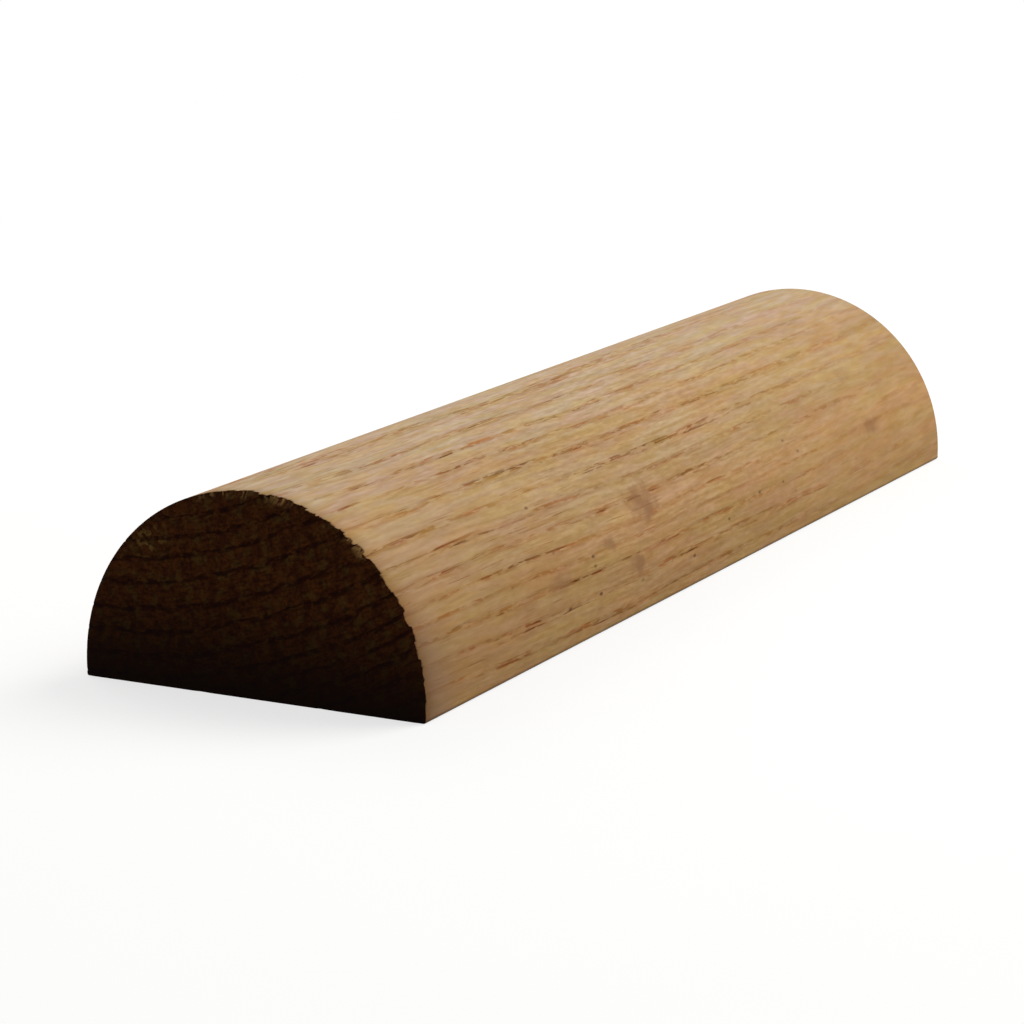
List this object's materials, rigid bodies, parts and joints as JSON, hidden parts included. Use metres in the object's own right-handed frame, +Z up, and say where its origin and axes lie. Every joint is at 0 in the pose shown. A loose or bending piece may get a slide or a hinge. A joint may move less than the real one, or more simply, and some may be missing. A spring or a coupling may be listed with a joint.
{
  "type": "half round moulding",
  "caption": "Solid oak half round moulding strip: semicircular face on short straight flanks, flat back, square-sawn ends.",
  "frame": {"origin": "middle of the flat back, which is the face the strip lies on", "axes": "+Z up from the flat back towards the crown of the round, +X along the length and the grain, +Y across the width"},
  "size_m": [0.13, 0.038, 0.0202],
  "materials": {
    "oak": "matte"
  },
  "bodies": {
    "root": {"half_round_strip": "oak"}
  },
  "joints": []
}
